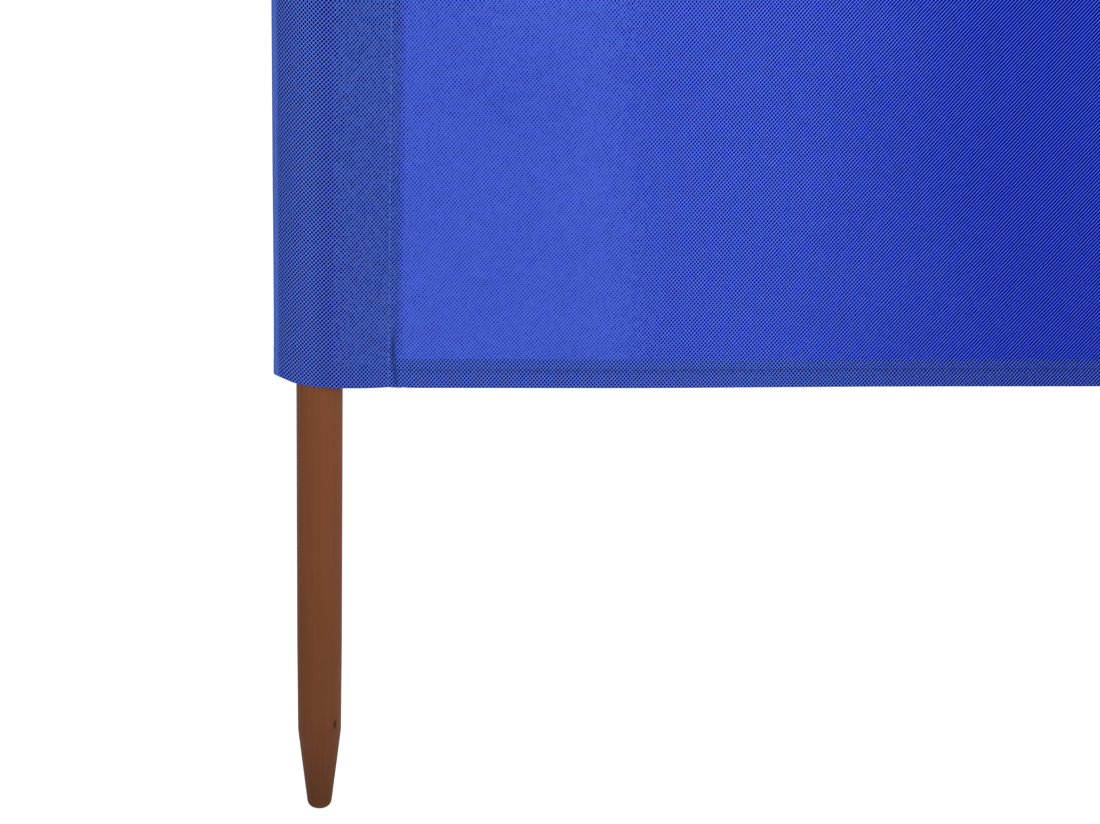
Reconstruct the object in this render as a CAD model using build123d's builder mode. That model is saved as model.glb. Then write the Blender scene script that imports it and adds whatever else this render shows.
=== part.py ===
"""Beach windbreak: bays of cloth between turned wooden stakes that stand in sewn sleeves.

Millimetres. +X runs along the row, -Y faces the viewer, +Z is up.
The origin is on the flat end of the middle stake's foot.
"""

import os
from math import asin, atan2, cos, degrees, hypot, radians, sin

from build123d import *

os.makedirs("parts", exist_ok=True)

# The row: whole bays, with a stake at each end and between neighbours
bay_count = 4
pole_pitch = 1235

# The stakes: straight round wood, turned to a blunt tapered foot
pole_diameter = 28
bare_foot = 290  # from the foot's end up to the cloth
bare_top = 80  # from the cloth up to the stake's top
foot_end_diameter = 13.6
foot_round_radius = 4
foot_taper_height = 58
foot_shoulder_loss = 0.4  # taken off the radius where the taper starts
foot_swell_height = 115  # where the stake has its full diameter again
foot_shoulder_radius = 120
top_round_radius = 4

# The cloth and its hems
cloth_thickness = 1
cloth_height = 1200
hem_height = 17.5
hem_fold_radius = 0.8

# The sleeves: cloth turned round a stake and sewn down along a seam
pole_clearance = 0.3
seam_reach = 41  # from the stake's axis to the line of stitches
seam_allowance = 8  # from the stitches to the turned-in edge
seam_blend_radius = 12
curl_ease = 27.2  # by how much the curl's radius exceeds the stake's
fold_radius = 3.5
curl_contact_angle = 26.2  # where the stake lies against the curl
curl_turn_angle = 54
back_slope_angle = 8

# What follows from those sizes
pole_radius = pole_diameter / 2
pole_length = bare_foot + cloth_height + bare_top
pocket_radius = pole_radius + pole_clearance
curl_radius = pocket_radius + curl_ease
curl_centre = (
    curl_ease * sin(radians(curl_contact_angle)),
    curl_ease * cos(radians(curl_contact_angle)),
)
front_inside = curl_centre[1] - curl_radius
front_outside = front_inside - cloth_thickness
sleeve_reach = seam_reach + seam_allowance
row_start = -bay_count * pole_pitch / 2
pole_places = [row_start + number * pole_pitch for number in range(bay_count + 1)]


def meet(point_a, angle_a, point_b, angle_b):
    """The point where two lines cross, each given by a point on it and its direction in degrees."""
    ax, ay = cos(radians(angle_a)), sin(radians(angle_a))
    bx, by = cos(radians(angle_b)), sin(radians(angle_b))
    across, along = point_b[0] - point_a[0], point_b[1] - point_a[1]
    way = (across * by - along * bx) / (ax * by - ay * bx)
    return point_a[0] + way * ax, point_a[1] + way * ay


# The back of a sleeve runs from the seam to the round pocket behind the stake, which it just clears
seam_tip = (seam_reach, front_inside)
seam_opening_angle = degrees(
    atan2(-front_inside, seam_reach) + asin(pocket_radius / hypot(seam_reach, front_inside))
)
flank_angle = 180 - seam_opening_angle


def end_sleeve_outline():
    """Corners and corner radii of the end sleeve's hollow, with the stake's axis at zero."""
    turned = radians(curl_turn_angle)
    on_curl = (
        curl_centre[0] - curl_radius * sin(turned),
        curl_centre[1] - curl_radius * cos(turned),
    )
    sloped = radians(back_slope_angle)
    on_pocket = (-pocket_radius * sin(sloped), pocket_radius * cos(sloped))
    curl_angle = 180 - curl_turn_angle
    front_corner = meet(seam_tip, 180, on_curl, curl_angle)
    fold_corner = meet(on_curl, curl_angle, on_pocket, back_slope_angle)
    back_corner = meet(on_pocket, back_slope_angle, seam_tip, flank_angle)
    corners = [seam_tip, front_corner, fold_corner, back_corner]
    return corners, [0, curl_radius, fold_radius, pocket_radius]


def middle_sleeve_outline():
    """Corners and corner radii of a middle sleeve's hollow, with a flat front and a bowed back."""
    other_tip = (-seam_reach, front_inside)
    back_corner = meet(seam_tip, flank_angle, other_tip, seam_opening_angle)
    return [seam_tip, other_tip, back_corner], [0, 0, pocket_radius]


def build_pole(name, x):
    """A stake: one turned profile, from the flat of its foot to its rounded top."""
    with BuildPart() as pole:
        with BuildSketch(Plane((x, 0, 0), x_dir=(1, 0, 0), z_dir=(0, -1, 0))):
            with BuildLine():
                Polyline(
                    (0, 0),
                    (foot_end_diameter / 2, 0),
                    (pole_radius - foot_shoulder_loss, foot_taper_height),
                    (pole_radius, foot_swell_height),
                    (pole_radius, pole_length),
                    (0, pole_length),
                    close=True,
                )
            make_face()
            shoulder = (pole_radius - foot_shoulder_loss, foot_taper_height)
            fillet(vertices().sort_by_distance(shoulder)[0], foot_shoulder_radius)
            fillet(vertices().group_by(Axis.Y)[0].sort_by(Axis.X)[-1], foot_round_radius)
            fillet(vertices().group_by(Axis.Y)[-1].sort_by(Axis.X)[-1], top_round_radius)
        revolve(axis=Axis((x, 0, 0), (0, 0, 1)))
    pole.part.label = name
    export_step(pole.part, f"parts/{name}.step")


def build_sleeve(name, x, outline, seam_sides, mirrored=False):
    """A sleeve: cloth of even thickness round a hollow, with a doubled flange at each seam."""
    corners, radii = outline
    with BuildPart() as sleeve:
        with BuildSketch(Plane((x, 0, bare_foot))):
            with BuildLine():
                FilletPolyline(*corners, radius=radii, close=True)
            make_face()
            offset(amount=cloth_thickness, kind=Kind.ARC)
            for side in seam_sides:
                with Locations((side * (seam_reach + seam_allowance / 2), front_inside)):
                    Rectangle(seam_allowance, 2 * cloth_thickness)
                bend = (side * seam_reach, front_inside + cloth_thickness)
                fillet(vertices().sort_by_distance(bend)[0], seam_blend_radius)
            with BuildLine():
                FilletPolyline(*corners, radius=radii, close=True)
            make_face(mode=Mode.SUBTRACT)
            if mirrored:
                mirror(about=Plane.YZ, mode=Mode.REPLACE)
        extrude(amount=cloth_height)
    sleeve.part.label = name
    export_step(sleeve.part, f"parts/{name}.step")


def build_panel(name, start, end):
    """One bay's cloth, a single layer from seam edge to seam edge."""
    with BuildPart() as panel:
        with BuildSketch(Plane.XY.offset(bare_foot)):
            with Locations((start, front_outside)):
                Rectangle(end - start, cloth_thickness, align=Align.MIN)
        extrude(amount=cloth_height)
    panel.part.label = name
    export_step(panel.part, f"parts/{name}.step")


def build_hem(name, start, end, fold, rise):
    """The cloth's edge, turned to the back and sewn down: it rises or falls from its fold's height."""
    with BuildPart() as hem:
        with BuildSketch(Plane((start, front_inside, fold), x_dir=(0, 1, 0), z_dir=(1, 0, 0))):
            upward = Align.MIN if rise > 0 else Align.MAX
            Rectangle(cloth_thickness, hem_height, align=(Align.MIN, upward))
            fold_edge = vertices().group_by(Axis.Y)[0 if rise > 0 else -1]
            fillet(fold_edge.sort_by(Axis.X)[-1], hem_fold_radius)
        extrude(amount=end - start)
    hem.part.label = name
    export_step(hem.part, f"parts/{name}.step")


# Stakes and their sleeves, from left to right
for number, x in enumerate(pole_places, start=1):
    build_pole(f"pole_{number}", x)
    if number == 1:
        build_sleeve("left_end_sleeve", x, end_sleeve_outline(), [1])
    elif number == len(pole_places):
        build_sleeve("right_end_sleeve", x, end_sleeve_outline(), [1], mirrored=True)
    else:
        build_sleeve(f"middle_sleeve_{number - 1}", x, middle_sleeve_outline(), [1, -1])

# The bays between them, each with a hem along its bottom and its top
for number, x in enumerate(pole_places[:-1], start=1):
    start, end = x + sleeve_reach, x + pole_pitch - sleeve_reach
    build_panel(f"panel_{number}", start, end)
    build_hem(f"bottom_hem_{number}", start, end, bare_foot, 1)
    build_hem(f"top_hem_{number}", start, end, bare_foot + cloth_height, -1)
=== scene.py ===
"""Beach windbreak: bays of blue cloth between brown wooden stakes that stand in sewn sleeves.

Metres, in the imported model's frame: +X along the row, -Y to the front, +Z up.
"""

import math
import random

import bmesh
import bpy
from mathutils import Matrix, Vector, noise


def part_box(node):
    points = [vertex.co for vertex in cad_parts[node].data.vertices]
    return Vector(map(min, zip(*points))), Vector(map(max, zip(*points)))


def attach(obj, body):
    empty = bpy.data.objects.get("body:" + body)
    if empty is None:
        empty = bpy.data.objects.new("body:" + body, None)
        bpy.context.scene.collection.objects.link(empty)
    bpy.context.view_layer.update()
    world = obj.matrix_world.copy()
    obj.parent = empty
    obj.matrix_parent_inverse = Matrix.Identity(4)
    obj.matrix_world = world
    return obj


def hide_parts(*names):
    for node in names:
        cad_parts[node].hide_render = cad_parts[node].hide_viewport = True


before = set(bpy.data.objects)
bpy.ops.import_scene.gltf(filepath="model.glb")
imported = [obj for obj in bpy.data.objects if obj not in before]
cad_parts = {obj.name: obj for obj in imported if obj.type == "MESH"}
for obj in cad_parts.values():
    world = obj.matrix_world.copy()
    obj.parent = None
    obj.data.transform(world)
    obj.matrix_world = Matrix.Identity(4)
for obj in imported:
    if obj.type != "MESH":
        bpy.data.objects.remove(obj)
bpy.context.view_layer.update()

# Stakes
# Round softwood sticks, turned to a blunt tapered foot for pushing into sand and rounded off at the top.
# They are dipped in brown paint, through which the grain just shows, with a chip or two near the foot.

mm = 0.001
stake_count = 5
stake_sides = 112
taper_rows = 12
swell_rows = 30
shaft_rows = 12
foot_end_radius = 7.3 * mm
foot_round = 4.6 * mm
taper_height = 54.5 * mm
shoulder_loss = 0.4 * mm  # taken off the radius where the taper starts
shoulder_round = 6.3 * mm
shoulder_steps = 16
swell_height = 115 * mm  # where the stake has its full radius again
top_round = 4 * mm
round_steps = 6
merge_distance = 0.01 * mm
stake_sharp_angle = math.radians(60)

paint_brown = (122, 71, 43)
paint_in_grain = (104, 60, 36)
# The dark brown that painted shade takes the paint towards near the foot
paint_in_shade = (26, 17, 11)
# The colour is darker in the chips
chip_dark = (62, 34, 23)
grain_fineness = 420
cloud_fineness = 26
paint_fineness = 900
paint_relief = 0.12 * mm
# Painted shade on the lower stake: the heights from which it darkens the paint, gently and then more over the
# foot
foot_shade_reach = 300 * mm
tip_shade_reach = 80 * mm

chips_each = 2
chip_heights = (40 * mm, 110 * mm)
chip_half_width = 0.8 * mm
chip_half_heights = (1.5 * mm, 2.6 * mm)
chip_depth = 0.4 * mm
chip_raggedness = 0.35
chip_rag_fineness = 900
chip_reach = 4  # half heights: the far side of the stake stays whole
chip_darkening = 1.6
photographed_chip = (math.radians(45), 62.5 * mm, 1.6 * mm, 2.8 * mm, 0.5 * mm)


class Wire:
    """A shader socket that sums can be written on: each operator adds its Math node."""

    def __init__(self, tree, socket=None):
        self.tree = tree
        self.socket = socket

    def node(self, kind, settings=(), inputs=(), output=0):
        """Any other node: its type, its settings, set first, and its sockets' values or links."""
        made = self.tree.nodes.new("ShaderNode" + kind)
        for name, value in dict(settings).items():
            setattr(made, name, value)
        for name, value in dict(inputs).items():
            if isinstance(value, Wire):
                self.tree.links.new(value.socket, made.inputs[name])
            else:
                made.inputs[name].default_value = value
        return Wire(self.tree, made.outputs[output])

    def sum(self, operation, *values):
        """A Math node on these values."""
        return self.node("Math", {"operation": operation}, enumerate(values))

    def __add__(self, other):
        return self.sum("ADD", self, other)

    def __sub__(self, other):
        return self.sum("SUBTRACT", self, other)

    def __rsub__(self, other):
        return self.sum("SUBTRACT", other, self)

    def __mul__(self, other):
        return self.sum("MULTIPLY", self, other)

    __radd__ = __add__
    __rmul__ = __mul__

    def mix(self, low, high):
        """A colour between two others, with this value as the share of the second."""
        return self.node("Mix", {"data_type": "RGBA"}, {0: self, 6: low, 7: high}, 2)

    def ramp(self, start, end):
        """0 up to start, 1 from end on, and smooth between them."""
        settings = {"interpolation_type": "SMOOTHSTEP"}
        return self.node("MapRange", settings, {"Value": self, "From Min": start, "From Max": end})

    def speckle(self, scale, detail=2.0):
        """Soft noise from 0 to 1 over this vector."""
        return self.node("TexNoise", {}, {"Vector": self, "Scale": scale, "Detail": detail})

    def stretched(self, x, y, z):
        """This vector with its parts multiplied."""
        return self.node("VectorMath", {"operation": "MULTIPLY"}, {0: self, 1: (x, y, z)})


def colour(red, green, blue):
    """A screen colour, from 0 to 255, as the linear colour that a shader takes."""
    def linear(level):
        level /= 255
        return level / 12.92 if level <= 0.04045 else ((level + 0.055) / 1.055) ** 2.4
    return linear(red), linear(green), linear(blue), 1.0


def finish(name, build):
    """A material whose sockets take the values and links that build(start) gives."""
    material = bpy.data.materials.new(name)
    material.use_nodes = True
    tree = material.node_tree
    shader = tree.nodes["Principled BSDF"]
    for socket, value in build(Wire(tree)).items():
        if isinstance(value, Wire):
            tree.links.new(value.socket, shader.inputs[socket])
        else:
            shader.inputs[socket].default_value = value
    return material


def brown_paint(start):
    """Brown paint through which the grain shows, darkened by painted shade towards the foot and darker in the
    chips.
    """
    place = start.node("TexCoord", output="Object")
    grain = place.stretched(1, 1, 0.02).speckle(grain_fineness, 3)
    cloud = place.stretched(1, 1, 0.3).speckle(cloud_fineness, 2)
    height = place.node("SeparateXYZ", inputs={0: place}, output="Z")
    # Painted shade: the paint gets darker towards the foot
    foot_shade = height.ramp(foot_shade_reach, 0.0) * 0.25 + height.ramp(tip_shade_reach, 0.0) * 0.26
    chip = start.node("Attribute", {"attribute_name": "chipped"}, output="Fac")
    fresh = (grain.ramp(0.42, 0.78) * 0.34 + cloud * 0.22).mix(colour(*paint_brown), colour(*paint_in_grain))
    shaded_paint = foot_shade.mix(fresh, colour(*paint_in_shade))
    relief = grain * 0.7 + place.speckle(paint_fineness, 1) * 0.3
    return {
        "Base Color": chip.mix(shaded_paint, colour(*chip_dark)),
        "Roughness": 0.5 + cloud * 0.16 + chip * 0.3,
        "Specular IOR Level": 0.05,
        "Normal": start.node("Bump", {}, {"Strength": 0.25, "Distance": paint_relief, "Height": relief}),
    }


def keep_piece(name, bm, material, slot, *nodes):
    """Turns a finished bmesh into a piece that rides on the row and stands for its nodes."""
    mesh = bpy.data.meshes.new(name)
    bm.to_mesh(mesh)
    bm.free()
    piece = bpy.data.objects.new(name, mesh)
    bpy.context.collection.objects.link(piece)
    mesh.materials.append(material)
    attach(piece, "root")
    if nodes:
        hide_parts(*nodes)
    return piece


def shade(bm, sharp_angle):
    """Smooth shading with the edges that turn further than an angle kept crisp."""
    for face in bm.faces:
        face.smooth = True
    for edge in bm.edges:
        edge.smooth = edge.calc_face_angle(0) < sharp_angle


def turned_stake(number, chips):
    """One stake: a profile spun round its axis, with small chips knocked out of it."""
    low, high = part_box(f"pole_{number}")
    radius = (high[0] - low[0]) / 2
    length = high[2] - low[2]
    axis = Vector(((low[0] + high[0]) / 2, 0, low[2]))
    bm = bmesh.new()
    corners = [
        (0, 0),
        (foot_end_radius, 0),
        (radius - shoulder_loss, taper_height),
        (radius, swell_height),
        (radius, length),
        (0, length),
    ]
    knots = [bm.verts.new(axis + Vector((across, 0, up))) for across, up in corners]
    runs = [bm.edges.new(pair) for pair in zip(knots, knots[1:])]
    bmesh.ops.subdivide_edges(bm, edges=[runs[1]], cuts=taper_rows)
    bmesh.ops.subdivide_edges(bm, edges=[runs[2]], cuts=swell_rows)
    bmesh.ops.subdivide_edges(bm, edges=[runs[3]], cuts=shaft_rows)
    rounds = ((1, foot_round, round_steps), (2, shoulder_round, shoulder_steps), (4, top_round, round_steps))
    for corner, size, segments in rounds:
        across, up = corners[corner]
        spot = axis + Vector((across, 0, up))
        knot = min(bm.verts, key=lambda vert: (vert.co - spot).length)
        bmesh.ops.bevel(bm, geom=[knot], offset=size, segments=segments, profile=0.5,
                        affect="VERTICES", material=-1)
    bmesh.ops.spin(bm, geom=bm.verts[:] + bm.edges[:], cent=axis, axis=(0, 0, 1), angle=math.tau,
                   steps=stake_sides, use_merge=True)
    bmesh.ops.remove_doubles(bm, verts=bm.verts[:], dist=merge_distance)
    bmesh.ops.recalc_face_normals(bm, faces=bm.faces[:])
    chipped = bm.verts.layers.float.new("chipped")
    for angle, up, half_width, half_height, depth in chips:
        middle = axis + Vector((radius * math.sin(angle), -radius * math.cos(angle), up))
        across = Vector((math.cos(angle), math.sin(angle), 0))
        for vert in bm.verts:
            away = vert.co - middle
            spread = math.hypot(away.dot(across) / half_width, away.z / half_height)
            spread += chip_raggedness * noise.noise(vert.co * chip_rag_fineness)
            if spread < 1 and away.length < chip_reach * half_height:
                inward = Vector((axis.x - vert.co.x, -vert.co.y, 0)).normalized()
                vert.co += inward * depth * (1 - spread ** 2)
                vert[chipped] = min(1, chip_darkening * (1 - spread ** 2))
    shade(bm, stake_sharp_angle)
    keep_piece(f"stake_{number}", bm, stake_paint, "stake_paint", f"pole_{number}")


stake_paint = finish("stake_paint", brown_paint)
knocks = random.Random(3)
for number in range(1, stake_count + 1):
    chips = [(math.radians(knocks.uniform(0, 360)), knocks.uniform(*chip_heights), chip_half_width,
              knocks.uniform(*chip_half_heights), chip_depth) for _ in range(chips_each)]
    if number == 1:
        chips = [photographed_chip]
    turned_stake(number, chips)

# Sleeves
# The cloth's ends and three narrow strips, turned round the stakes and sewn through along each seam.
# An end sleeve curls loosely round its stake to a fold at the back, and a middle one has a flat front
# and a strip bowed round the stake behind it. The layers end 8 mm past the stitches.

cloth_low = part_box("panel_1")[0][2]
cloth_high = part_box("panel_1")[1][2]
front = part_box("panel_1")[0][1]
flange_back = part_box("bottom_hem_1")[1][1]
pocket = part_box("middle_sleeve_1")[1][1]
stake_places = [sum(corner[0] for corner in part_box(f"pole_{n}")) / 2 for n in range(1, stake_count + 1)]
sleeve_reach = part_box("left_end_sleeve")[1][0] - stake_places[0]
cloth_height = cloth_high - cloth_low
cloth_thickness = 0.8 * mm
seam_line = 41 * mm
seam_blend = 12 * mm
flank_slope = math.radians(41.4)
curl_start = 14 * mm
curl_radius = 50 * mm
curl_turn = math.radians(52)
curl_stretch = 1.12
fold_radius = 6.3 * mm
back_slope = math.radians(8)
hem_height = 17.5 * mm
sleeve_rows = 150
row_crowding = 0.68
flange_steps = 6
blend_steps = 6
flank_steps = 8
pocket_steps = 12
back_steps = 3
fold_steps = 10
side_steps = 3
curl_steps = 16
front_steps = 26
bow_steps = 18
front_strip_steps = 60
cloth_sharp_angle = math.radians(50)

# Furrows and welts beside the seam (where, how wide, how proud) and along the hem's stitches
seam_welts = (
    (seam_line, 1.3 * mm, -0.45 * mm),
    (45 * mm, 2.0 * mm, 0.3 * mm),
    (37.5 * mm, 2.6 * mm, 0.22 * mm),
)
seam_waver = 0.3 * mm
seam_waver_width = 5 * mm
seam_waver_fineness = (9, 55)  # across and up
hem_stitch_height = 11.5 * mm
hem_stitch_width = 1.2 * mm
hem_stitch_sink = 0.3 * mm
hem_swell_height = 15 * mm
hem_swell_width = 1.6 * mm
sleeve_hem_swell = 0.16 * mm
sleeve_ease = 0.45 * mm
sleeve_ease_fineness = (16, 7)
sleeve_edge_width = 4 * mm

# The crease past the seam, sharper towards the cloth's ends (gain, from which height, over which height)
crease_line = 45.6 * mm
crease_width = 1.25 * mm
crease_depth = 1.2 * mm
crease_share = 0.2
crease_gains = ((0.08, 85 * mm, 30 * mm), (0.72, 42 * mm, 14 * mm))
crease_sway = 2.1 * mm
crease_sway_height = 25 * mm
crease_sway_reach = 14 * mm
crease_end = 6 * mm
crease_end_share = 0.35
seam_draw = 0.7 * mm
seam_draw_width = 9 * mm
seam_draw_height = 12 * mm
fold_draw = 1.3 * mm
fold_draw_height = 40 * mm
fold_draw_start = -12 * mm
fold_draw_width = 14 * mm

# Where the cloth's looks change across a sleeve, from the stake's axis, and up its hems
front_tilt = -0.1  # cloth whose face points further forward than this is the sleeve's front
front_layer = 1 * mm  # how far behind the front plane its flat cloth may lie
stake_side = 10 * mm
stake_side_width = 17 * mm
fold_start = -21.6 * mm
fold_width = 3.4 * mm
double_end = 44.3 * mm
double_end_width = 4.5 * mm
hem_edge_width = 1.6 * mm
sleeve_hem_height = 12 * mm
sleeve_hem_edge_width = 2 * mm
hem_rise = 6.3 * mm
hem_rise_start = 40 * mm
hem_rise_width = 9 * mm
full_hem_start = 35 * mm
full_hem_width = 14 * mm

# How dark the pressed points look, and how strongly the falling ridges cross the rising ones
sleeve_point_depth = 0.66
sleeve_back_point_depth = 0.7
stake_point_depth = 1.45
fold_point_depth = 0.1
plain_crossing = 0.75
stake_crossing = 0.3
sleeve_hem_crossing = 0.12
# Painted shade on the curl where it turns away from the light over the stake, and a painted sheen on an end
# sleeve's outer fold
curl_painted_shade = 0.15
fold_painted_sheen = 0.3
# How strongly painted shade darkens the crease beside the seam
crease_shade_strength = 0.75

double_point = (0, 4, 100)
double_ridge = (101, 136, 238)
# The single layer is painted lighter with the light that shines through it from behind
backlit_single_point = (0, 12, 134)
backlit_single_ridge = (107, 139, 255)
# The deep blue of the painted shade in creases and stitch furrows
crease_shade_blue = (26, 44, 104)
point_pitch = (2.24 * mm, 2.62 * mm)
point_relief = 0.2 * mm
ridge_start = 0.66
plain_level = 0.716  # from the points' colour to the ridges'
mean_point = 0.273
fibre_tone = 0.3
cloud_tone = 0.12
fibre_fineness = 1500
cloth_cloud_fineness = 9
# painted_shading is painted shade on the cloth, and painted light where it is below 0
cloth_marks = ("doubled", "pressed", "crossed", "crease_shade", "painted_shading")


def blue_cloth(start):
    """Blue cloth pressed with staggered points in a net of ridges, darker where it lies doubled, because the
    single layer is painted lighter with light shining through it from behind, and carrying painted shading
    and painted crease shade.
    """
    place = start.node("Attribute", {"attribute_name": "cloth"}, output="Vector")
    doubled, pressed, crossed, crease_shade, painted_shading = [
        start.node("Attribute", {"attribute_name": name}, output="Fac") for name in cloth_marks]
    across, up = [start.node("SeparateXYZ", inputs={0: place}, output=part) * (1 / pitch)
                  for part, pitch in zip("XY", point_pitch)]
    slants = (across + up, across - up)
    open_share = 1
    for slant, strength in zip(slants, (crossed, 1)):
        wave = 0.5 + 0.5 * start.node("Math", {"operation": "COSINE"}, {0: slant * math.tau})
        open_share = (1 - wave.ramp(ridge_start, 1.0) * strength) * open_share
    cell = start.node("CombineXYZ", inputs={
        part: start.node("Math", {"operation": "FLOOR"}, {0: slant}) for part, slant in zip("XY", slants)})
    chance = start.node("TexWhiteNoise", {"noise_dimensions": "2D"}, {"Vector": cell})
    fibre = place.speckle(fibre_fineness, 3)
    cloud = place.speckle(cloth_cloud_fineness, 3)
    point = open_share * (0.85 + chance * 0.3)
    # Painted shading takes the colour down towards the points' blue, and painted light up towards the ridges'
    level = plain_level + pressed * (mean_point - point) - fibre * fibre_tone - cloud * cloud_tone - painted_shading
    single = level.mix(colour(*backlit_single_point), colour(*backlit_single_ridge))
    double = level.mix(colour(*double_point), colour(*double_ridge))
    return {
        # Painted shade in the creases and along the hem's stitches darkens the colour
        "Base Color": crease_shade.mix(doubled.mix(single, double), colour(*crease_shade_blue)),
        "Roughness": 0.78 + fibre * 0.14,
        "Specular IOR Level": 0.01,
        "Normal": start.node("Bump", {}, {"Strength": 0.3, "Distance": point_relief,
                                          "Height": fibre * 0.3 - open_share * 0.7}),
    }


def draw_out(bm, edge, move, along):
    """Draws the free edge of a strip of cloth out by one move: gives the new edge and the rungs to it."""
    drawn = bmesh.ops.extrude_edge_only(bm, edges=edge)["geom"]
    verts = [part for part in drawn if isinstance(part, bmesh.types.BMVert)]
    edge = [part for part in drawn if isinstance(part, bmesh.types.BMEdge)]
    bmesh.ops.transform(bm, matrix=move, verts=verts)
    cloth = bm.verts.layers.float_vector["cloth"]
    for vert in verts:
        vert[cloth] += along
    fresh = set(edge)
    return edge, [rung for vert in verts for rung in vert.link_edges if rung not in fresh]


def lead(bm, edge, run, along):
    """Leads a strip of cloth along a straight run, which is then divided, or round a bend step by step."""
    way, steps, move, length = run
    if way == "straight":
        edge, rungs = draw_out(bm, edge, move, along * length)
        bmesh.ops.subdivide_edges(bm, edges=rungs, cuts=steps - 1)
    else:
        for _ in range(steps):
            edge, rungs = draw_out(bm, edge, move, along * length / steps)
    return edge


def straight(way, length, steps):
    """A straight run of cloth in a level direction: its steps, its move and its length."""
    return "straight", steps, Matrix.Translation(Vector((math.cos(way), math.sin(way), 0)) * length), length


def bend(centre, angle, radius, steps):
    """A run of cloth turned round an upright axis: its steps, one step's turn and its length."""
    pivot = Vector((centre[0], centre[1], 0))
    turn = Matrix.Rotation(angle / steps, 4, "Z")
    return "bend", steps, Matrix.Translation(pivot) @ turn @ Matrix.Translation(-pivot), abs(angle) * radius


def beside(way_a, offset_a, way_b, offset_b):
    """The point that lies a given distance to the right of two directions through the stake's axis."""
    right_a = Vector((math.sin(way_a), -math.cos(way_a)))
    right_b = Vector((math.sin(way_b), -math.cos(way_b)))
    return Matrix((right_a, right_b)).inverted() @ Vector((offset_a, offset_b))


def level_way(way):
    """The level direction at an angle."""
    return Vector((math.cos(way), math.sin(way)))


def flank_runs():
    """From the seam's edge along the flange and up the flank to the pocket behind the stake."""
    way = math.pi - flank_slope
    blend = beside(math.pi, flange_back + seam_blend, way, pocket + seam_blend)
    return [
        straight(math.pi, sleeve_reach - blend.x, flange_steps),
        bend(blend, -flank_slope, seam_blend, blend_steps),
        straight(way, -blend.dot(level_way(way)), flank_steps),
    ]


def end_sleeve_runs():
    """The end of the cloth, from the flange behind the seam round the stake to the front of the seam."""
    flank_way = math.pi - flank_slope
    back_way = math.pi + back_slope
    curl_way = math.tau - curl_turn
    curl_centre = Vector((curl_start, front + curl_radius))
    curl_reach = curl_radius + curl_centre.dot(Vector((math.sin(curl_way), -math.cos(curl_way))))
    fold = beside(back_way, pocket - fold_radius, curl_way, curl_reach - fold_radius)
    return flank_runs() + [
        bend((0, 0), back_way - flank_way, pocket, pocket_steps),
        straight(back_way, fold.dot(level_way(back_way)), back_steps),
        bend(fold, curl_way - back_way, fold_radius, fold_steps),
        straight(curl_way, (curl_centre - fold).dot(level_way(curl_way)), side_steps),
        bend(curl_centre, curl_turn, curl_radius, curl_steps),
        straight(0, sleeve_reach - curl_start, front_steps),
    ]


def back_strip_runs():
    """The strip behind a middle sleeve, from one seam round the back of the stake to the other."""
    way = math.pi + flank_slope
    blend = beside(math.pi, flange_back + seam_blend, way, pocket + seam_blend)
    return flank_runs() + [
        bend((0, 0), 2 * flank_slope, pocket, bow_steps),
        straight(way, blend.dot(level_way(way)), flank_steps),
        bend(blend, -flank_slope, seam_blend, blend_steps),
        straight(math.pi, sleeve_reach + blend.x, flange_steps),
    ]


def crowd(share):
    """Spaces rows closer towards both ends."""
    return share - row_crowding * math.sin(math.tau * share) / math.tau


def dip(distance, width):
    """A smooth hump of height 1 round a line."""
    return math.exp(-(distance / width) ** 2)


def ease(share):
    """0 up to 0, 1 from 1 on, and smooth between them."""
    share = min(1, max(0, share))
    return share * share * (3 - 2 * share)


def sewn_relief(across, round_way, height):
    """How far a sleeve's cloth stands proud of its plain form at a point, from stitches and ease."""
    seam_side = abs(across)
    ends = min(height, cloth_height - height)
    relief = sum(proud * dip(seam_side - line, width) for line, width, proud in seam_welts)
    waver = noise.noise(Vector((0, across * seam_waver_fineness[0], height * seam_waver_fineness[1])))
    relief += seam_waver * waver * dip(seam_side - seam_line, seam_waver_width)
    relief -= hem_stitch_sink * dip(ends - hem_stitch_height, hem_stitch_width)
    relief += sleeve_hem_swell * dip(max(0, ends - hem_swell_height), hem_swell_width)
    loose = Vector((round_way * sleeve_ease_fineness[0], 4.2, height * sleeve_ease_fineness[1]))
    relief += sleeve_ease * max(-0.4, noise.noise(loose))
    return relief * ease((sleeve_reach - seam_side) / sleeve_edge_width)


def seam_crease(across, height):
    """How sharp the crease beside the seam is, most where the last stitches draw it together: it sets the
    crease's depth and the painted shade in it.
    """
    ends = min(height, cloth_height - height)
    line = crease_line - crease_sway * dip(ends - crease_sway_height, crease_sway_reach)
    strength = crease_share + sum(gain * ease((top - ends) / width) for gain, top, width in crease_gains)
    return strength * ease(ends / crease_end + crease_end_share) * dip(across - line, crease_width)


def seam_lift(across, height):
    """How far the seam draws up the cloth's lower edge."""
    return seam_draw * dip(across - seam_line, seam_draw_width) * dip(height, seam_draw_height)


def fold_lift(across, height):
    """How far the empty outer fold of an end sleeve draws in the ends of the cloth."""
    ends = dip(height, fold_draw_height) - dip(cloth_height - height, fold_draw_height)
    return fold_draw * ends * ease((fold_draw_start - across) / fold_draw_width)


def hem_share(height):
    """1 in the hems at the cloth's bottom and top, and 0 between them."""
    ends = min(height, cloth_height - height)
    return ease((hem_height + hem_edge_width / 2 - ends) / hem_edge_width)


def over_stake(across):
    """1 where a sleeve's front lies on the stake and curls away from it, and 0 towards the seam."""
    return ease((stake_side - across) / stake_side_width)


def on_fold(across):
    """1 on the outer fold of an end sleeve, and 0 before it."""
    return ease((fold_start - across) / fold_width)


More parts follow.
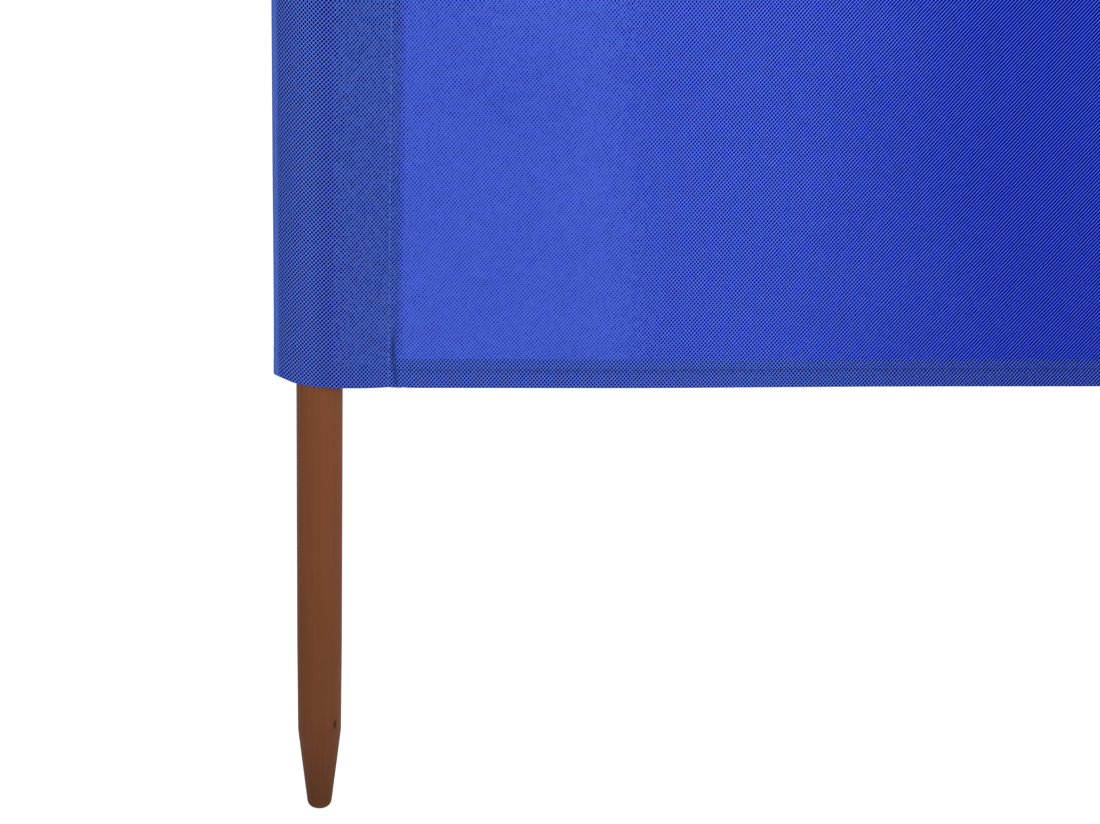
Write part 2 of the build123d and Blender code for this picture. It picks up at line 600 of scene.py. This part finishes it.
def sleeve_points(across, height):
    """How dark the pressed points look on a sleeve's front, and how strongly the falling ridges cross the
    rising ones: most over the stake and in the hem, with faint points on the fold."""
    ends = min(height, cloth_height - height)
    hem_top = sleeve_hem_height + hem_rise * ease((across - hem_rise_start) / hem_rise_width)
    in_hem = ease((hem_top - ends) / sleeve_hem_edge_width)
    in_hem *= 0.5 + 0.5 * ease((across - full_hem_start) / full_hem_width)
    depth = sleeve_point_depth + max(stake_point_depth * over_stake(across), in_hem)
    crossing = plain_crossing + max(stake_crossing * over_stake(across), sleeve_hem_crossing * in_hem)
    return depth * (1 - on_fold(across)) + fold_point_depth * on_fold(across), crossing


def cloth_layers(bm):
    """Per point: its place on the cloth and the looks of the cloth there."""
    place = bm.verts.layers.float_vector.new("cloth")
    return place, *[bm.verts.layers.float.new(name) for name in cloth_marks]


def sew_sleeve(name, stake, strips, side, *nodes):
    """One sleeve: each strip is led round the stake, given its relief, thickened and set in its place."""
    whole = bmesh.new()
    widths = []
    for begin, runs, last, curled in strips:
        bm = bmesh.new()
        cloth, doubled, pressed, crossed, crease_shade, painted_shading = cloth_layers(bm)
        ends = [bm.verts.new((begin[0], begin[1], up)) for up in (0, cloth_height)]
        edge = bm.edges.new(ends)
        bmesh.ops.subdivide_edges(bm, edges=[edge], cuts=sleeve_rows)
        widths.append(sum(run[-1] for run in runs))
        for vert in bm.verts:
            vert.co.z = cloth_height * crowd(vert.co.z / cloth_height)
            vert[cloth] = Vector((last - widths[-1], vert.co.z, 0))
        edge = bm.edges[:]
        for run in runs:
            edge = lead(bm, edge, run, Vector((1, 0, 0)))
        bm.normal_update()
        for vert in bm.verts:
            across, height = abs(vert.co.x), vert.co.z
            proud = sewn_relief(across, vert[cloth].x, height)
            lift = seam_lift(across, height)
            vert[doubled] = 1
            vert[pressed], vert[crossed] = sleeve_back_point_depth, plain_crossing
            if vert.normal.y < front_tilt:
                vert[pressed], vert[crossed] = sleeve_points(vert.co.x if curled else across, height)
            if vert.co.y < front + front_layer:
                single = ease((across - double_end) / double_end_width)
                vert[doubled] = max(hem_share(height), 1 - single)
                # Painted shade in the crease beside the seam
                vert[crease_shade] = crease_shade_strength * seam_crease(across, height)
                proud -= crease_depth * seam_crease(across, height)
            if curled:
                # Painted shade on the curl over the stake, and a painted sheen on the outer fold
                vert[painted_shading] = curl_painted_shade * over_stake(vert.co.x) - fold_painted_sheen * on_fold(vert.co.x)
                lift += fold_lift(vert.co.x, height)
                vert[cloth].x += max(0, curl_start - vert[cloth].x) * (1 - 1 / curl_stretch)
            vert.co += vert.normal * proud + Vector((0, 0, lift))
        bmesh.ops.solidify(bm, geom=bm.faces[:], thickness=cloth_thickness)
        for vert in bm.verts:
            vert.co = (stake + side * vert.co.x, vert.co.y, cloth_low + vert.co.z)
            vert[cloth].x = stake + side * vert[cloth].x
        if side < 0:
            bmesh.ops.reverse_faces(bm, faces=bm.faces[:])
        scrap = bpy.data.meshes.new("strip")
        bm.to_mesh(scrap)
        bm.free()
        whole.from_mesh(scrap)
        bpy.data.meshes.remove(scrap)
    shade(whole, cloth_sharp_angle)
    piece = keep_piece(name, whole, doubled_cloth, "doubled_cloth", *nodes)


doubled_cloth = finish("doubled_cloth", blue_cloth)
stakes_under = {f"middle_sleeve_cloth_{n}": [f"stake_{n + 1}"] for n in range(1, stake_count - 1)}
stakes_under["left_sleeve_cloth"] = ["stake_1"]
stakes_under["right_sleeve_cloth"] = [f"stake_{stake_count}"]
flange_edge = (sleeve_reach, flange_back)
end_strip = [(flange_edge, end_sleeve_runs(), sleeve_reach, True)]
sew_sleeve("left_sleeve_cloth", stake_places[0], end_strip, 1, "left_end_sleeve")
sew_sleeve("right_sleeve_cloth", stake_places[-1], end_strip, -1, "right_end_sleeve")
front_runs = [straight(0, 2 * sleeve_reach, front_strip_steps)]
front_strip = ((-sleeve_reach, front), front_runs, sleeve_reach, False)
back_strip = (flange_edge, back_strip_runs(), -sleeve_reach, False)
for number, stake in enumerate(stake_places[1:-1], start=1):
    sew_sleeve(f"middle_sleeve_cloth_{number}", stake, [front_strip, back_strip], 1,
               f"middle_sleeve_{number}")

# Bays
# Each bay is one sheet of the same cloth, stretched between two seams and slack enough to belly a little.
# Its top and bottom edges are folded to the back and sewn down as hems, and it keeps soft creases from
# lying folded in eight.

bay_count = stake_count - 1
bay_start = [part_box(f"panel_{n}")[0][0] for n in range(1, bay_count + 1)]
bay_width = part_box("panel_1")[1][0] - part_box("panel_1")[0][0]
hem_fold = (flange_back - front) / 2
folded_in = 8
bay_columns = 130
edge_zone = 40 * mm
edge_rows = 24
middle_rows = 84
hem_rows = 10
hem_fold_steps = 6

# The depths of the slack: the belly, the creases between the leaves, slow waves and swags at the top corners
belly_depths = (13 * mm, 18 * mm)
leaf_depth = 4.6 * mm
level_crease_depth = 2.6 * mm
level_crease_share = 0.016  # its width as a share of the cloth's height
wave_depth = 7 * mm
held_width = 150 * mm
swag_depth = 5 * mm
swag_reach = 250 * mm
swag_side = 90 * mm
swag_top = 35 * mm
droop_depth = 5 * mm
bay_hem_swell = 0.12 * mm
sewn_width = 6 * mm

# The painted light beside the seams, paler cloth with fainter points: how far it reaches from the seam and
# up from the hem, and over which length it fades. Past it, painted shade darkens the bay
lit_share = 0.3  # beside the other seams, as a share of the photographed corner
lit_width = 0.65 * bay_width
lit_width_fade = 0.3 * bay_width
lit_height = 300 * mm
lit_height_fade = 500 * mm
lit_height_loss = 0.8
lit_drift = 30 * mm
lit_drift_fineness = (4, 3)
lit_points_reach = 120 * mm
lit_points_fade = 95 * mm
shade_reach = 170 * mm
shade_fade = 220 * mm
# Painted shade: over the whole bay, further out from the seams, and in the hems
bay_shade = 0.07
mid_bay_shade = 0.2
hem_shade = 0.025
hem_shade_loss = 0.4
bay_point_depth = 0.95
seam_side_loss = 0.43
mid_bay_gain = 0.7
bay_hem_point_depth = 1.58
bay_hem_crossing = 0.17
shading_crossing_loss = 1.65
# Painted shade along the furrow that the hem's stitches draw in
hem_stitch_shade = 0.24

moods = random.Random(11)
bay_moods = [{"belly": moods.uniform(*belly_depths), "turn": moods.uniform(0, 9),
              "lean": moods.uniform(-0.05, 0.05)} for _ in range(bay_count)]


def slack(bay, across, height):
    """How far back the cloth of a bay lies from the flat between its seams."""
    mood = bay_moods[bay]
    share = min(1, max(0, across / bay_width))
    up = min(1, max(0, height / cloth_height))
    belly = mood["belly"] * math.sin(math.pi * share) ** 1.7
    belly *= 0.25 + 0.75 * math.sin(math.pi * (0.04 + 0.88 * up)) ** 1.2
    held = ease(across / held_width) * ease((bay_width - across) / held_width)
    leaf = share * folded_in / 2
    crease = 2 * abs(leaf - math.floor(leaf + 0.5))
    crease = 0.5 - ease(crease) * 0.55 - crease * 0.45
    sharpness = 0.65 + 0.5 * noise.noise(Vector((share * 5, up * 2.2, mood["turn"])))
    fold = leaf_depth * crease * held * sharpness
    fold *= 0.35 + 0.65 * ease(up / 0.2)
    level_fold = -level_crease_depth * dip(up - 0.5 - mood["lean"] * 0.2, level_crease_share) * held
    wave = wave_depth * noise.noise(Vector((share * 2.6, up * 3.1, 5 + mood["turn"])))
    wave *= held * ease(up / 0.35)
    swag = 0
    down = cloth_height - height
    for corner in (across, bay_width - across):
        reach = math.hypot(corner, down) / swag_reach
        angle = math.atan2(down, corner + mm)
        rays = math.sin(7.5 * angle + 1.3 + mood["turn"])
        swag += swag_depth * rays * ease(corner / swag_side) * reach * math.exp(1 - reach)
    return belly + fold + level_fold + wave + swag * ease(down / swag_top)


def droop(across, height):
    """How far the cloth hangs below its straight top edge."""
    share = min(1, max(0, across / bay_width))
    return droop_depth * math.sin(math.pi * share) ** 1.6 * (height / cloth_height) ** 2


def hem_relief(height):
    """The hem's stitches draw its two layers together a little, front and back."""
    ends = min(height, cloth_height - height)
    sink = hem_stitch_sink * dip(ends - hem_stitch_height, hem_stitch_width)
    return sink - bay_hem_swell * dip(max(0, ends - hem_swell_height), hem_swell_width)


def on_bay(bay, across, height):
    """The point of a bay's front face at a place on its cloth."""
    held = ease(across / sewn_width) * ease((bay_width - across) / sewn_width)
    back = slack(bay, across, height) + hem_relief(height) * held
    seam = sleeve_reach + min(across, bay_width - across)
    up = cloth_low + height - droop(across, height) + seam_lift(seam, height)
    return Vector((bay_start[bay] + across, front + back, up))


def cloth_looks(bay, across, height):
    """How far a bay's cloth looks doubled, pressed, crossed and shaded: painted light makes it paler beside
    the seams, most at the corner that the photograph shows, painted shade darkens it past them; darkest in
    the hems."""
    seam = min(across, bay_width - across)
    hem = hem_share(height)
    corner = lit_share
    if bay == 0:
        corner += (1 - lit_share) * ease((lit_width - across) / lit_width_fade)
        corner -= lit_height_loss * ease((height - lit_height) / lit_height_fade) * (corner - lit_share)
    drift = Vector((across * lit_drift_fineness[0], height * lit_drift_fineness[1], 20 + bay))
    from_seam = seam + lit_drift * noise.noise(drift)
    deeper = mid_bay_gain * ease((from_seam - lit_points_reach) / lit_points_fade)
    depth = bay_point_depth + corner * (deeper - seam_side_loss)
    # Painted shade darkens the bay away from the seams, less where the painted light lies and in the hems
    darker = mid_bay_shade * ease((from_seam - shade_reach) / shade_fade)
    painted_tone = bay_shade + corner * (darker - bay_shade)
    painted_tone = painted_tone * (1 - hem_shade_loss * hem) + hem_shade * hem
    crossing = plain_crossing + bay_hem_crossing * hem - shading_crossing_loss * painted_tone
    return hem, depth + hem * (bay_hem_point_depth - depth), crossing, painted_tone


def hem_bend(height, steps):
    """The hem's fold round a level axis, a half turn."""
    pivot = Vector((0, hem_fold, height))
    turn = Matrix.Rotation(-math.pi / steps, 4, "X")
    return "bend", steps, Matrix.Translation(pivot) @ turn @ Matrix.Translation(-pivot), math.pi * hem_fold


def rise(length, steps):
    """A straight run of cloth up the bay, or down it where the length is negative."""
    return "straight", steps, Matrix.Translation((0, 0, length)), abs(length)


def hang_bay(bay):
    """One bay's sheet: led down the back of the bottom hem, up the front and down the back of the top hem."""
    bm = bmesh.new()
    cloth, doubled, pressed, crossed, crease_shade, painted_shading = cloth_layers(bm)
    corners = [bm.verts.new((across, 2 * hem_fold, hem_height)) for across in (bay_width, 0)]
    edge = bm.edges.new(corners)
    bmesh.ops.subdivide_edges(bm, edges=[edge], cuts=bay_columns)
    for vert in bm.verts:
        vert.co.x = bay_width * crowd(vert.co.x / bay_width)
        vert[cloth] = Vector((bay_start[bay] + vert.co.x, (2 - math.pi) * hem_fold - hem_height, 0))
    runs = [
        rise(hem_fold - hem_height, hem_rows),
        hem_bend(hem_fold, hem_fold_steps),
        rise(edge_zone - hem_fold, edge_rows),
        rise(cloth_height - 2 * edge_zone, middle_rows),
        rise(edge_zone - hem_fold, edge_rows),
        hem_bend(cloth_height - hem_fold, hem_fold_steps),
        rise(hem_fold - hem_height, hem_rows),
    ]
    edge = bm.edges[:]
    for run in runs:
        edge = lead(bm, edge, run, Vector((0, 1, 0)))
    for vert in bm.verts:
        depth = vert.co.y
        looks = cloth_looks(bay, vert.co.x, vert.co.z)
        vert[doubled], vert[pressed], vert[crossed], vert[painted_shading] = looks
        ends = min(vert.co.z, cloth_height - vert.co.z)
        # Painted shade along the hem's stitch furrow
        vert[crease_shade] = hem_stitch_shade * dip(ends - hem_stitch_height, hem_stitch_width)
        face = on_bay(bay, vert.co.x, vert.co.z)
        behind = hem_relief(vert.co.z) * depth / hem_fold
        vert.co = face + Vector((0, depth - behind, 0))
    bm.normal_update()
    bmesh.ops.solidify(bm, geom=bm.faces[:], thickness=cloth_thickness)
    shade(bm, cloth_sharp_angle)
    number = bay + 1
    piece = keep_piece(f"bay_cloth_{number}", bm, bay_cloth, "bay_cloth",
                       f"panel_{number}", f"bottom_hem_{number}", f"top_hem_{number}")
    seams = ["left_sleeve_cloth"] + [f"middle_sleeve_cloth_{n}" for n in range(1, bay_count)]
    seams.append("right_sleeve_cloth")


bay_cloth = finish("bay_cloth", blue_cloth)
for bay in range(bay_count):
    hang_bay(bay)

# Stitches
# Blue thread in a plain lockstitch, darker in the hems than in the seams with painted shade where the hem's
# stitches sink into the cloth: one row down each seam and one along each hem, seen from both sides. Every
# stitch is a short lozenge that lies half sunk in the cloth.

stitch_pitch = 3.6 * mm
stitch_size = (1.6 * mm, 0.3 * mm, 0.24 * mm)
stitch_margin = 2 * mm  # from a seam's ends to its first and last stitch
hem_back_sink = 0.6 * mm
curl_stitch_reach = 24 * mm  # how far a hem's stitches go round the curl, from the stake's axis
thread_fineness = 2600
thread_relief = 0.1 * mm
seam_blues = ((66, 92, 178), (112, 138, 216))
# Painted shade: the hem thread is darker, where its stitches sink into the cloth
shaded_hem_blues = ((16, 32, 112), (38, 58, 142))


def blue_thread(blues):
    """Twisted thread that shows a darker and a lighter blue."""
    def build(start):
        twist = start.node("TexCoord", output="Object").speckle(thread_fineness, 2)
        return {
            "Base Color": twist.ramp(0.3, 0.7).mix(colour(*blues[0]), colour(*blues[1])),
            "Roughness": 0.6 + twist * 0.2,
            "Specular IOR Level": 0.1,
            "Normal": start.node("Bump", {}, {"Strength": 0.4, "Distance": thread_relief, "Height": twist}),
        }
    return build


def sew_row(piece_bm, first, way, length, settle):
    """Adds a straight row of stitches, each then settled on the cloth under it."""
    bm = bmesh.new()
    count = int(length / stitch_pitch)
    step = way * length / count
    lie = way.to_track_quat("X", "Y").to_matrix().to_4x4() @ Matrix.Diagonal((*stitch_size, 1))
    bmesh.ops.create_icosphere(bm, subdivisions=1, radius=1,
                               matrix=Matrix.Translation(first + step / 2) @ lie)
    made = 1
    while made < count:
        copied = bmesh.ops.duplicate(bm, geom=bm.verts[:] + bm.edges[:] + bm.faces[:])["geom"]
        bmesh.ops.translate(bm, vec=step * made,
                            verts=[part for part in copied if isinstance(part, bmesh.types.BMVert)])
        made *= 2
    spare = [vert for vert in bm.verts if (vert.co - first).dot(way) > length]
    bmesh.ops.delete(bm, geom=spare, context="VERTS")
    for vert in bm.verts:
        vert.co = settle(vert.co)
    row = bpy.data.meshes.new("row")
    bm.to_mesh(row)
    bm.free()
    piece_bm.from_mesh(row)
    bpy.data.meshes.remove(row)


def sew_seam(piece_bm, stake, side):
    """The two faces of one seam's row, up the sleeve."""
    def on_front(point):
        height = point.z - cloth_low
        proud = sewn_relief(seam_line, seam_line, height) - crease_depth * seam_crease(seam_line, height)
        return point + Vector((0, -proud, seam_lift(seam_line, height)))

    def on_back(point):
        return point + Vector((0, sewn_relief(seam_line, -seam_line, point.z - cloth_low), 0))

    across = stake + side * seam_line
    for face, settle in ((front, on_front), (flange_back, on_back)):
        first = Vector((across, face, cloth_low + stitch_margin))
        sew_row(piece_bm, first, Vector((0, 0, 1)), cloth_height - 2 * stitch_margin, settle)


def sew_sleeve_hems(piece_bm, stake, side, reach, curled):
    """The hem rows over the front of a sleeve, bottom and top, which follow the curl of an end sleeve."""
    def on_front(point):
        across, height = side * (point.x - stake), point.z - cloth_low
        away = max(0, curl_start - across) if curled else 0
        turn = math.asin(away / curl_radius)
        proud = sewn_relief(across, across + away - curl_radius * turn, height)
        lift = seam_lift(across, height) + (fold_lift(across, height) if curled else 0)
        back = curl_radius * (1 - math.cos(turn))
        return point + Vector((-side * math.sin(turn) * proud, back - math.cos(turn) * proud, lift))

    begin, end = sorted((stake - side * reach, stake + side * sleeve_reach))
    for height in (hem_stitch_height, cloth_height - hem_stitch_height):
        first = Vector((begin, front, cloth_low + height))
        sew_row(piece_bm, first, Vector((1, 0, 0)), end - begin, on_front)


def sew_hems(piece_bm, bay):
    """The two faces of a bay's hem rows, bottom and top."""
    def on_cloth(point):
        return on_bay(bay, point.x - bay_start[bay], point.z - cloth_low) + Vector((0, point.y - front, 0))

    for height in (hem_stitch_height, cloth_height - hem_stitch_height):
        for depth in (front, flange_back - hem_back_sink):
            first = Vector((bay_start[bay], depth, cloth_low + height))
            sew_row(piece_bm, first, Vector((1, 0, 0)), bay_width, on_cloth)


seam_thread = finish("seam_thread", blue_thread(seam_blues))
shaded_hem_thread = finish("shaded_hem_thread", blue_thread(shaded_hem_blues))
for number, stake in enumerate(stake_places, start=1):
    stitches = bmesh.new()
    if number > 1:
        sew_seam(stitches, stake, -1)
    if number < stake_count:
        sew_seam(stitches, stake, 1)
    shade(stitches, math.pi)
    keep_piece(f"seam_stitches_{number}", stitches, seam_thread, "doubled_cloth")
    stitches = bmesh.new()
    at_end = number in (1, stake_count)
    side = -1 if number == stake_count else 1
    sew_sleeve_hems(stitches, stake, side, curl_stitch_reach if at_end else sleeve_reach, at_end)
    shade(stitches, math.pi)
    keep_piece(f"sleeve_hem_stitches_{number}", stitches, shaded_hem_thread, "doubled_cloth")
for bay in range(bay_count):
    stitches = bmesh.new()
    sew_hems(stitches, bay)
    shade(stitches, math.pi)
    keep_piece(f"hem_stitches_{bay + 1}", stitches, shaded_hem_thread, "doubled_cloth")

# Studio
# A plain white floor, a soft light from the front and one from behind, a narrow one before the left corner,
# and a camera that stands before the end stake and looks down at that corner, as the photograph does.

floor_half_width = 300
floor_grey = (250, 250, 250)
floor_glow = 0.8
sky_glow = 0.165

floor_bm = bmesh.new()
bmesh.ops.create_grid(floor_bm, x_segments=1, y_segments=1, size=floor_half_width)
floor_mesh = bpy.data.meshes.new("floor")
floor_bm.to_mesh(floor_mesh)
floor_bm.free()
floor = bpy.data.objects.new("floor", floor_mesh)
bpy.context.collection.objects.link(floor)
floor_mesh.materials.append(finish("floor_white", lambda start: {
    "Base Color": colour(*floor_grey),
    "Roughness": 0.9,
    "Emission Color": (1, 1, 1, 1),
    "Emission Strength": floor_glow,
}))

scene = bpy.context.scene
scene.view_settings.view_transform = "Standard"
world = bpy.data.worlds.new("studio")
world.use_nodes = True
world.node_tree.nodes["Background"].inputs["Color"].default_value = (1, 1, 1, 1)
world.node_tree.nodes["Background"].inputs["Strength"].default_value = sky_glow
scene.world = world


def soft_light(name, place, aim, size, power):
    """A rectangular soft light that the camera doesn't see."""
    data = bpy.data.lights.new(name, "AREA")
    data.shape = "RECTANGLE"
    data.size, data.size_y = size
    data.energy = power
    lamp = bpy.data.objects.new(name, data)
    lamp.location = place
    lamp.rotation_euler = (Vector(aim) - Vector(place)).to_track_quat("-Z", "Y").to_euler()
    lamp.visible_camera = False
    bpy.context.collection.objects.link(lamp)


row_middle = (0, 0, 0.8)
wide = (4, 2)
narrow = (0.2, 1.2)
front_light_place = (-1.2, -5, 3.2)
front_light_power = 106
back_light_place = (1.2, 6, 4)
back_light_power = 120
corner_light_place = (stake_places[0] + 0.35, -0.75, 0.9)
corner_light_aim = (stake_places[0] + 0.08, 0, 0.6)
corner_light_power = 2.6
soft_light("front_light", front_light_place, row_middle, wide, front_light_power)
soft_light("back_light", back_light_place, row_middle, wide, back_light_power)
soft_light("corner_light", corner_light_place, corner_light_aim, narrow, corner_light_power)

# The camera's distance and its angle above the level, from the photograph's perspective
view_distance = 1588 * mm
view_drop = math.radians(20)
lens_pixels = 2640
picture_width = 1100
aim_beside_stake = 138.6 * mm
aim_height = 275 * mm
sight_limit = 500
aim = Vector((stake_places[0] + aim_beside_stake, front, aim_height))
eye = Vector((stake_places[0], front - view_distance * math.cos(view_drop),
              aim.z + view_distance * math.sin(view_drop)))
sight = (aim - eye).normalized()
level = (Vector((1, 0, 0)) - sight * sight.x).normalized()
lens = bpy.data.cameras.new("camera")
lens.sensor_width = 36
lens.lens = lens.sensor_width * lens_pixels / picture_width
lens.clip_end = sight_limit
camera = bpy.data.objects.new("camera", lens)
camera.location = eye
camera.rotation_euler = Matrix((level, level.cross(sight), -sight)).transposed().to_euler()
bpy.context.collection.objects.link(camera)
scene.camera = camera
